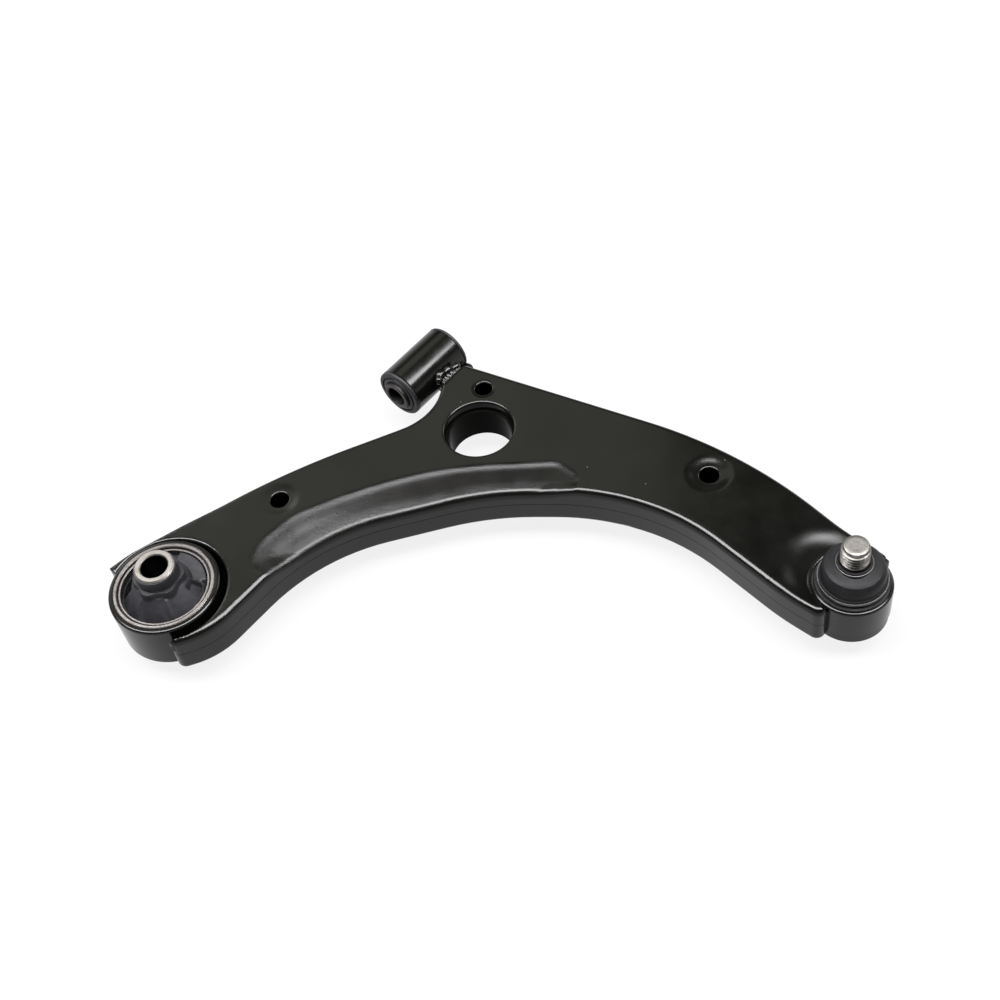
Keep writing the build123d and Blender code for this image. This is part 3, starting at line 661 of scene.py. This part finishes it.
def with_walls(points, height, faces, loops, bottoms):
    """All points of the plate with the walls that hang from its loops down to bottoms; the
    walls' faces are added to the given ones."""
    stacks = [np.column_stack((points, height))]
    total, first = len(points), 0
    for number, (loop, bottom) in enumerate(zip(loops, bottoms)):
        count = len(loop)
        above = np.arange(first, first + count)
        edge_z = height[first:first + count]
        first += count
        if bottom is None:
            continue
        fall = np.minimum(bottom, edge_z - 1) - edge_z
        for share in WALL_SHARES:
            stacks.append(np.column_stack((loop, edge_z + fall * share)))
            below = np.arange(total, total + count)
            total += count
            for i in range(count):
                j = (i + 1) % count
                quad = (above[i], below[i], below[j], above[j])
                faces.append(tuple(int(q) for q in (quad if number == 0 else quad[::-1])))
            above = below
    return np.vstack(stacks)


def clear_of_tube(points):
    """Pushes points out of the front bush's tube."""
    offset = points - TUBE_CENTRE
    along = offset @ TUBE_ALONG
    radial = offset - along[:, None] * TUBE_ALONG
    distance = np.linalg.norm(radial, axis=1)
    hit = (distance < TUBE_RADIUS + CLEAR) & (np.abs(along) < TUBE_HALF + 1)
    points[hit] += radial[hit] * ((TUBE_RADIUS + CLEAR) / distance[hit] - 1)[:, None]


def pressed_plate():
    """Points, faces and bead share of the upper shell's outer skin."""
    runs = plate_runs(OUTLINE_STEP)
    front, collar, back, opening = runs
    tab_share = ramp(np.linalg.norm(back, axis=1), *REAR_TAB_REACH)
    run_rounds = [
        np.full(len(front), EDGE_ROUND),
        np.full(len(collar), COLLAR_EDGE_ROUND),
        REAR_TAB_ROUND + (BACK_ROUND - REAR_TAB_ROUND) * tab_share,
        np.full(len(opening), OPENING_ROUND),
    ]
    run_bottoms = (SEAM_Z, COLLAR_WALL_Z, SEAM_Z, OPENING_WALL_Z)
    outer = np.vstack(runs)
    # loop, rounding of its edge, and where its wall ends if it has one
    holes = [(circle_loop(*CENTRE_HOLE, 1.0), CENTRE_HOLE_ROUND, CENTRE_HOLE_WALL_Z)]
    holes += [(circle_loop(h, r, 0.7), HOLE_ROUND, None) for h, r, _, _ in TOOLING_HOLES]
    loops = [outer] + [loop for loop, _, _ in holes]
    points, faces = triangulated(loops, fill_points(runs, run_rounds, outer, holes))

    drop = np.zeros(len(points))
    ends = [np.vstack((runs[i - 1][-1], runs[i], runs[(i + 1) % 4][0])) for i in range(4)]
    for path, radius in zip(ends, run_rounds):
        gap, index = nearest(points, path, closed=False)
        drop = np.maximum(drop, quarter(gap, radius[np.clip(index, 0, len(radius) - 1)]))
    for loop, radius, _ in holes:
        drop = np.maximum(drop, quarter(nearest(points, loop)[0], radius))
    bottoms = [np.concatenate([np.full(len(r), b) for r, b in zip(runs, run_bottoms)])]
    bottoms += [b if b is None else np.full(len(loop), b) for loop, _, b in holes]
    solid = with_walls(points, plate_height(points) - drop, faces, loops, bottoms)
    clear_of_tube(solid)
    return solid, faces, bead_shape(solid[:, :2])[1]


def apply_modifiers(piece):
    """Replaces a piece's mesh by what its modifiers make of it."""
    shown = bpy.context.evaluated_depsgraph_get()
    mesh = bpy.data.meshes.new_from_object(piece.evaluated_get(shown))
    piece.modifiers.clear()
    piece.data = mesh


def make_plate():
    points, faces, bead = pressed_plate()
    plate = build("upper_plate", points, faces, sharp=180)
    # the bead's grain is coarser towards the rear bush
    worn = bead * (0.35 + 0.65 * ramp(points[:, 0], 165, 60))
    grain = plate.data.attributes.new("press_grain", "FLOAT", "POINT")
    grain.data.foreach_set("value", worn.astype(np.float32))
    sheet = plate.modifiers.new("sheet", "SOLIDIFY")
    sheet.thickness = SHEET * MM
    sheet.offset = -1
    apply_modifiers(plate)
    plate.data.shade_smooth()
    plate.data.set_sharp_from_angle(angle=math.radians(50))
    finish_piece(plate, PAINT_PRESSED, "arm", "upper_shell")


make_plate()


# ---------------------------------------------------------------- rear bush
LINER_INSIDE = 23.25
SLEEVE_SIDE = 10.8
SKIN = 11.25                   # outside of the thin skin that climbs the inner sleeve
SKIN_TOP_Z = 17.3
RUBBER_BOTTOM_Z = -26.4
CONE_FOOT_Z, CONE_RISE, CONE_WIDTH = -4.2, 11.2, 9.6
BOSS_FOOT_Z, BOSS_RISE, BOSS_RADIUS, BOSS_SIDE = 6.0, 4.5, 13.7, 0.9
LOBES, LOBE_DEPTH, LOBE_TURN = 6, 0.8, 10
# Patches of the rubber's upper face: middle and half width in degrees, width of the soft
# border, and the radii from which to which it fades in at its inner and its outer side.
PAD = (45, 33, 5, (14.4, 15.8), (23.4, 22.4))
VOID = (145, 47, 4, (16.4, 17.2), (22.3, 21.5))
RECESS = (-6, 9, 3, (14.6, 15.4), (20.6, 19.6))
RIB = (-66, 1.2, 3.3, (13.6, 15.0), (22.6, 20.5))
LOW_RIB = (-122, 1, 3, (13.6, 15.0), (22.6, 20.5))
PAD_Z, VOID_Z, RECESS_DEPTH, RIB_HEIGHT = 0.4, -22.0, 3.2, 0.9
# corners of the thin rubber ring between the two outer sleeves, and of the housing
OUTER_SKIN = [((24.42, -26.3), 0.2), ((25.18, -26.3), 0.2),
              ((25.18, -0.8), 0.25), ((24.42, -0.8), 0.25)]
HOUSING = [(27.25, -27.5, 0.4), (30.0, -27.5, 0.8), (30.0, 0.5, 1.5), (27.25, 0.5, 0.4)]


def patch(radius, degrees, middle, half, border, inner, outer):
    """Share of a soft-edged patch: 1 on it and 0 beside it."""
    beside = abs((degrees - middle + 180.0) % 360.0 - 180.0)
    return ramp(beside, half + border, half) * ramp(radius, *inner) * ramp(radius, *outer)


def web_height(radius, degrees):
    """Height of the rear rubber's upper face: a cone with a lobed boss round the sleeve, and
    in it a pad, a deep void, a recess and two ribs."""
    climb = np.clip((LINER_INSIDE - 0.6 - radius) / CONE_WIDTH, 0, 1) ** 0.9
    cone = CONE_FOOT_Z + CONE_RISE * climb
    lobe = BOSS_RADIUS + LOBE_DEPTH * np.cos(np.radians(LOBES * (degrees - LOBE_TURN)))
    boss = BOSS_FOOT_Z + BOSS_RISE * ramp(radius, lobe, lobe - BOSS_SIDE)
    height = np.where(radius < lobe, np.maximum(cone, boss), cone)
    height = height + patch(radius, degrees, *PAD) * (PAD_Z - height) * 0.95
    height = height + patch(radius, degrees, *VOID) * (VOID_Z - height)
    height = height - patch(radius, degrees, *RECESS) * RECESS_DEPTH
    ribs = np.maximum(patch(radius, degrees, *RIB), 0.5 * patch(radius, degrees, *LOW_RIB))
    return height + ribs * RIB_HEIGHT


def make_rear_rubber():
    columns = 288
    radii = np.concatenate((np.linspace(LINER_INSIDE, 21.2, 12), np.linspace(20.9, 17.6, 12),
                            np.linspace(17.3, 13.0, 18), np.linspace(12.7, 11.5, 6)))
    under = [(SLEEVE_SIDE, RUBBER_BOTTOM_Z), (13.0, RUBBER_BOTTOM_Z + 0.4),
             (22.6, RUBBER_BOTTOM_Z + 1.6), (LINER_INSIDE, RUBBER_BOTTOM_Z + 1.2),
             (LINER_INSIDE, -12.0)]
    points = []
    for c in range(columns):
        degrees = 360.0 * c / columns
        a = math.radians(degrees)
        tops = [(r, float(web_height(r, degrees))) for r in radii]
        foot = tops[-1][1]
        skin = [(SKIN + 0.1, foot + 0.35), (SKIN, foot + 1.0), (SKIN, 11.0),
                (SKIN, SKIN_TOP_Z - 0.4), (SKIN - 0.12, SKIN_TOP_Z - 0.05),
                (SLEEVE_SIDE, SKIN_TOP_Z), (SLEEVE_SIDE, -6.0)]
        profile = tops + skin + under
        points += [(r * math.cos(a), r * math.sin(a), z) for r, z in profile]
    web = (points, strips(columns, len(profile), flip=True))
    points, faces = joined(web, spun(fillet_path(OUTER_SKIN, 0.6), (0, 0, 0)))
    rubber = build("rear_rubber", points, faces, sharp=40)
    finish_piece(rubber, RUBBER, None, "rear_bush_rubber")
    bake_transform(rubber)


def make_housing():
    housing = turned_piece("bush_housing", HOUSING, (0, 0, 0), step=0.3, segments=180)
    finish_piece(housing, PAINT, "arm", "rear_bush_housing")


make_rear_rubber()
make_housing()


# ---------------------------------------------------------------- front bush rubber
def make_front_rubber():
    lip, face = 20.3, 22.4     # distances from the tube's middle: under the lip, and its face
    half = [(8.66, face - 0.1, 0.3), (9.6, face + 0.3, 0.4), (10.9, face - 0.1, 0.3),
            (11.2, face - 1.1, 0.2), (11.9, face - 1.1, 0.2), (12.2, face - 0.2, 0.3),
            (14.7, face - 0.4, 0.9), (14.7, lip, 0.3), (11.36, lip, 0.2)]
    corners = half + [(r, -h, rounding) for r, h, rounding in half[::-1]]
    rubber = turned_piece("front_rubber", corners, TUBE_CENTRE, ACROSS, segments=120)
    finish_piece(rubber, RUBBER, None, "front_bush_rubber")
    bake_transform(rubber)


make_front_rubber()


# ---------------------------------------------------------------- ball joint boot and stud
BALL_FOOT = (*BALL_AXIS, 0.0)
SHOULDER_Z = 9.0               # where the boot's upright skirt becomes its dome
BOOT_SIDE, BOOT_INSIDE = 16.2, 15.5
BOOT_NECK_BORE = 7.46
NECK_RING = [(8.65, 14.95, 0.3), (9.35, 14.95, 0.3), (9.35, 16.1, 0.3), (8.65, 16.1, 0.3)]
THREAD_PITCH, THREAD_DEPTH, THREAD_CREST = 2.0, 1.15, 7.3
THREAD_START_Z, THREAD_END_Z, STUD_TOP_Z = 17.3, 27.4, 29.2


def make_boot():
    lower = [(15.86, 1.4, 0.2), (17.35, 1.4, 0.4), (17.35, 2.38, 0.3), (16.86, 2.42, 0.15),
             (16.86, 3.66, 0.15), (17.2, 3.72, 0.3), (16.9, 4.6, 0.3), (BOOT_SIDE, 5.1, 0.4),
             (BOOT_SIDE, SHOULDER_Z, 0), (BOOT_INSIDE, SHOULDER_Z, 0), (BOOT_INSIDE, 6.0, 0),
             (15.3, 2.8, 0.2), (15.86, 2.8, 0.2)]
    upper = [(BOOT_SIDE, SHOULDER_Z, 0), (15.8, 11.0, 1.6), (14.6, 12.9, 1.4), (12.8, 13.7, 0.8),
             (9.6, 14.2, 0.5), (8.6, 14.7, 0.3), (8.6, 16.2, 0.1), (8.8, 16.5, 0.15),
             (8.8, 17.0, 0.3), (BOOT_NECK_BORE, 17.0, 0.3), (BOOT_NECK_BORE, 13.0, 0.4),
             (12.4, 12.3, 1.0), (15.0, 10.9, 0.4), (BOOT_INSIDE, SHOULDER_Z, 0)]
    skirt = turned_piece("boot_skirt", lower, BALL_FOOT, step=0.45, segments=160)
    dome = turned_piece("boot_dome", upper, BALL_FOOT, step=0.45, segments=160)
    for piece, bodies in ((skirt, ("arm", "boot")), (dome, ("boot", "stud_swivel"))):
        finish_piece(piece, BOOT_RUBBER, None, "dust_boot")
        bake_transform(piece)


def make_upper_ring():
    ring = turned_piece("boot_neck_ring", NECK_RING, BALL_FOOT, step=0.2, segments=120)
    finish_piece(ring, RING_WIRE, "stud_swivel", "boot_upper_ring")


def make_stud():
    columns = 120
    thread = np.arange(THREAD_START_Z, THREAD_END_Z + 0.01, 0.1)
    # ball, hidden shank and neck, then the end above the thread: (radius, height)
    below = [(6.6, -22.5), (8.2, -21.2), (9.6, -19.7), (11.3, -16.5), (12.0, -12.5),
             (11.3, -8.4), (9.3, -4.9), (7.2, -2.9), (5.9, -1.0), (5.75, 1.0), (5.75, 3.3),
             (5.9, 4.4), (6.4, 7.2), (6.6, 8.2), (6.7, 12.0), (7.4, 13.2), (7.4, 15.5),
             (6.8, 16.2), (6.7, 17.0)]
    above = [(6.5, 27.6), (6.35, 27.9), (6.35, 28.5), (6.25, 28.95), (5.9, STUD_TOP_Z),
             (4.4, STUD_TOP_Z), (2.2, STUD_TOP_Z - 0.03), (0.6, STUD_TOP_Z - 0.03)]
    # the groove and the crest both run out at the ends of the thread
    run_in = ramp(thread, THREAD_START_Z, THREAD_START_Z + 1.2)
    run_out = 1 - 0.35 * ramp(thread, THREAD_END_Z - 0.8, THREAD_END_Z)
    crest = THREAD_CREST - 0.65 * (1 - ramp(thread, THREAD_START_Z, THREAD_START_Z + 0.6))
    taper = 0.55 * ramp(thread, THREAD_END_Z - 0.9, THREAD_END_Z)
    points = []
    for c in range(columns):
        turn = c / columns
        a = 2 * math.pi * turn
        phase = (thread / THREAD_PITCH - turn) % 1.0
        groove = np.clip(np.abs(phase * 2 - 1) * 1.25 - 0.12, 0, 1)
        radius = crest - THREAD_DEPTH * groove * (run_in * run_out) - taper
        column = below + list(zip(radius, thread)) + above
        points += [(BALL_AXIS[0] + r * math.cos(a), BALL_AXIS[1] + r * math.sin(a), z)
                   for r, z in column]
    rows = len(column)
    faces = strips(columns, rows, close_rows=False)
    faces.append(tuple(c * rows for c in range(columns))[::-1])
    faces.append(tuple(c * rows + rows - 1 for c in range(columns)))
    stud = build("threaded_stud", points, faces, sharp=60)
    finish_piece(stud, STUD_STEEL, "stud", "ball_stud")


make_boot()
make_upper_ring()
make_stud()


# ---------------------------------------------------------------- weld beads
WANDER_SPOTS = 9               # places along a bead where its thickness changes at random
WELD_AROUND = 20
WELD_STEP = 0.28


def weld(path, radius, seed, ripple=1.9, relief=0.13):
    """A weld bead: a round section along a path, with overlapping ripples and soft ends."""
    path = fillet_path([(p, 0) for p in path], WELD_STEP, closed=False)
    ahead = np.gradient(path, axis=0)
    ahead /= np.linalg.norm(ahead, axis=1)[:, None]
    run = np.concatenate(([0], np.cumsum(np.linalg.norm(np.diff(path, axis=0), axis=1))))
    rng = np.random.default_rng(seed)
    wander = np.interp(run, np.linspace(0, run[-1], WANDER_SPOTS),
                       rng.uniform(0.9, 1.08, WANDER_SPOTS))
    points = []
    for p, t, s, w in zip(path, ahead, run, wander):
        side = np.cross(t, (0, 0, 1.0))
        side /= np.linalg.norm(side)
        up = np.cross(side, t)
        end = min(1.0, min(s, run[-1] - s) / radius + 0.06)
        section = radius * w * math.sqrt(1 - (1 - end) ** 2)
        for k in range(WELD_AROUND):
            a = 2 * math.pi * k / WELD_AROUND
            # ripples bow back along the bead, as the pool's edge does
            beat = (s / ripple + 0.28 * math.cos(a) ** 2) % 1.0
            size = section * (1.03 - relief * (1 - math.sin(math.pi * beat) ** 0.7))
            points.append(p + (side * math.cos(a) + up * math.sin(a)) * size)
    faces = strips(len(path), WELD_AROUND, close_columns=False, flip=True)
    faces.append(tuple(range(WELD_AROUND))[::-1])
    faces.append(tuple(range((len(path) - 1) * WELD_AROUND, len(path) * WELD_AROUND)))
    return points, faces


def arc_path(radius, z, start, end, centre=(0.0, 0.0)):
    """Points along an upright axis's arc, about 3 degrees apart."""
    count = int(abs(end - start) / 3) + 2
    return [(*polar(radius, a, centre), z) for a in np.linspace(start, end, count)]


def beside_tube(along, out, up):
    """A point beside the front bush's tube, measured from the tube's middle."""
    return tuple(TUBE_CENTRE + TUBE_ALONG * along + TUBE_OUT * out + np.array((0, 0, up)))


def make_welds():
    side = [beside_tube(-6, 18.0, 1.5), beside_tube(2, 18.4, 3.0), beside_tube(11.5, 19.0, 2.5)]
    under = [beside_tube(-2.5, 4.6, -15.0), beside_tube(13.5, 4.6, -15.0)]
    seam = [beside_tube(-6.5, 18.2, 5.4), beside_tube(-1.5, 15.0, 6.6),
            beside_tube(5.5, 16.6, 6.2), beside_tube(12, 18.8, 5.4)]
    for name, node_name, shape in (
        ("collar_bead", "ball_collar_weld",
         weld(arc_path(20.9, -2.9, 98, 212, BALL_AXIS), 1.6, seed=3, relief=0.03)),
        ("housing_bead", "rear_housing_weld",
         weld(arc_path(30.7, -24.9, -58, 113), 1.6, seed=5)),
        ("tube_beads", "front_tube_weld",
         joined(weld(side, 3.8, seed=7), weld(under, 2.0, seed=9),
                weld(seam, 2.3, seed=11, ripple=5.2, relief=0.32))),
    ):
        finish_piece(build(name, *shape, sharp=60), PAINT, "arm", node_name)


make_welds()

# ---------------------------------------------------------------- CAD nodes that stay
for names, material in (
    (("lower_shell", "front_bush_tube", "ball_joint_collar"), PAINT),
    (("ball_joint_body", "ball_joint_circlip", "ball_joint_cover"), DARK_STEEL),
    (("rear_bush_outer_sleeve", "rear_bush_liner"), RING_STEEL),
    (("rear_bush_inner_sleeve",), REAR_STEEL),
    (("front_bush_outer_sleeve", "front_bush_inner_sleeve"), TUBE_STEEL),
    (("boot_lower_ring",), RING_WIRE),
    (("upper_bearing_seat", "lower_bearing_seat"), SEAT_PLASTIC),
    (("preload_disc",), RUBBER),
):
    for name in names:
        for cad_slot in NODES[name].material_slots:
            cad_slot.material = material

for name, width in (("ball_joint_collar", 0.8), ("front_bush_tube", 0.5)):
    rounding = NODES[name].modifiers.new("edge_rounding", "BEVEL")
    rounding.width = width * MM
    rounding.segments = 3
    rounding.limit_method = "ANGLE"
    rounding.angle_limit = math.radians(30)

# ---------------------------------------------------------------- floor, lights and camera
FLOOR_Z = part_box("rear_bush_inner_sleeve")[0][2]
FLOOR_HALF = 4000
PALE = (0.99, 0.99, 1.0, 1)    # colour of the glowing floor and of the horizon
GLOW = 0.86                    # and its strength
# name, place, the point it faces, size, power, colour
LAMPS = (
    ("overhead", (0.18, 0.06, 1.2), (0.18, 0.06, 0), (2.6, 0.56), 110.0, (1.0, 0.985, 1.0)),
    ("back_panel", (-0.74, 1.42, 1.5), (-0.74, 1.42, 0), (1.95, 0.95), 5.6, (1.0, 0.99, 0.86)),
    ("back_right", (1.5, 1.3, 0.75), (0.16, 0.1, 0), (0.9, 1.5), 10.0, (1.0, 0.99, 1.0)),
    ("back_left", (-1.2, 1.3, 0.75), (0.16, 0.1, 0), (0.9, 1.5), 8.0, (1.0, 0.99, 1.0)),
)
# The camera solved from the photograph: turns in degrees, the frame's origin as the camera
# sees it (right, down and ahead, in mm), and a small shift of its place in the frame.
YAW, PITCH, ROLL = -12.609, 51.207, -10.65
ORIGIN_SEEN = np.array((-175.21, 42.58, 775.59)) * 1.0229
CAMERA_SHIFT = (-2.6, 2.4, 0.0)
FOCAL_LENGTH, SENSOR = 54.17, 36.0


def make_floor():
    corners = [(x * FLOOR_HALF, y * FLOOR_HALF, FLOOR_Z / MM)
               for x, y in ((-1, -1), (1, -1), (1, 1), (-1, 1))]
    floor = build("studio_floor", corners, [(0, 1, 2, 3)])
    table = shader("studio_light_table", (0.045, 0.045, 0.045), 0.9, specular=0.0)
    clouds = noise_at(table, place(table), scale=3.0)
    plug(table, "Base Color",
         blend_colours(table, clouds, (0.044, 0.044, 0.044), (0.048, 0.048, 0.049)))
    bsdf = table.node_tree.nodes["Principled BSDF"]
    bsdf.inputs["Emission Color"].default_value = PALE
    bsdf.inputs["Emission Strength"].default_value = GLOW
    floor.data.materials.append(table)


def softbox(name, spot, target, size, power, colour):
    lamp = bpy.data.lights.new(name, "AREA")
    lamp.shape = "RECTANGLE"
    lamp.size, lamp.size_y = size
    lamp.energy = power
    lamp.color = colour
    made = bpy.data.objects.new(name, lamp)
    made.location = spot
    made.rotation_euler = (Vector(target) - Vector(spot)).to_track_quat("-Z", "Y").to_euler()
    bpy.context.scene.collection.objects.link(made)


def about_z(degrees):
    c, s = math.cos(math.radians(degrees)), math.sin(math.radians(degrees))
    return np.array(((c, -s, 0), (s, c, 0), (0, 0, 1)))


def make_camera():
    c, s = math.cos(math.radians(PITCH)), math.sin(math.radians(PITCH))
    tipped = np.array(((1, 0, 0), (0, -s, -c), (0, c, -s)))
    right, down, forward = rows = about_z(ROLL) @ tipped @ about_z(YAW)
    spot = (-rows.T @ ORIGIN_SEEN + CAMERA_SHIFT) * MM
    lens = bpy.data.cameras.new("photo_view")
    lens.lens, lens.sensor_width = FOCAL_LENGTH, SENSOR
    camera = bpy.data.objects.new("photo_view", lens)
    axes = np.column_stack((right, -down, -forward))
    camera.matrix_world = Matrix([[*axes[i], spot[i]] for i in range(3)] + [[0, 0, 0, 1]])
    bpy.context.scene.collection.objects.link(camera)
    bpy.context.scene.camera = camera


def make_world():
    """Pale near the horizon, like the floor, and dark overhead between the lamps."""
    world = bpy.data.worlds.new("studio")
    world.use_nodes = True
    background = world.node_tree.nodes["Background"]
    height = node(world, "ShaderNodeSeparateXYZ")
    link(world, node(world, "ShaderNodeTexCoord").outputs["Generated"], height.inputs[0])
    glow = remap(world, height.outputs["Z"], (0.16, 0.42), (GLOW, 0.02))
    link(world, glow, background.inputs["Strength"])
    background.inputs["Color"].default_value = PALE
    bpy.context.scene.world = world


make_floor()
for row in LAMPS:
    softbox(*row)
make_camera()
make_world()
bpy.context.scene.view_settings.view_transform = "Standard"
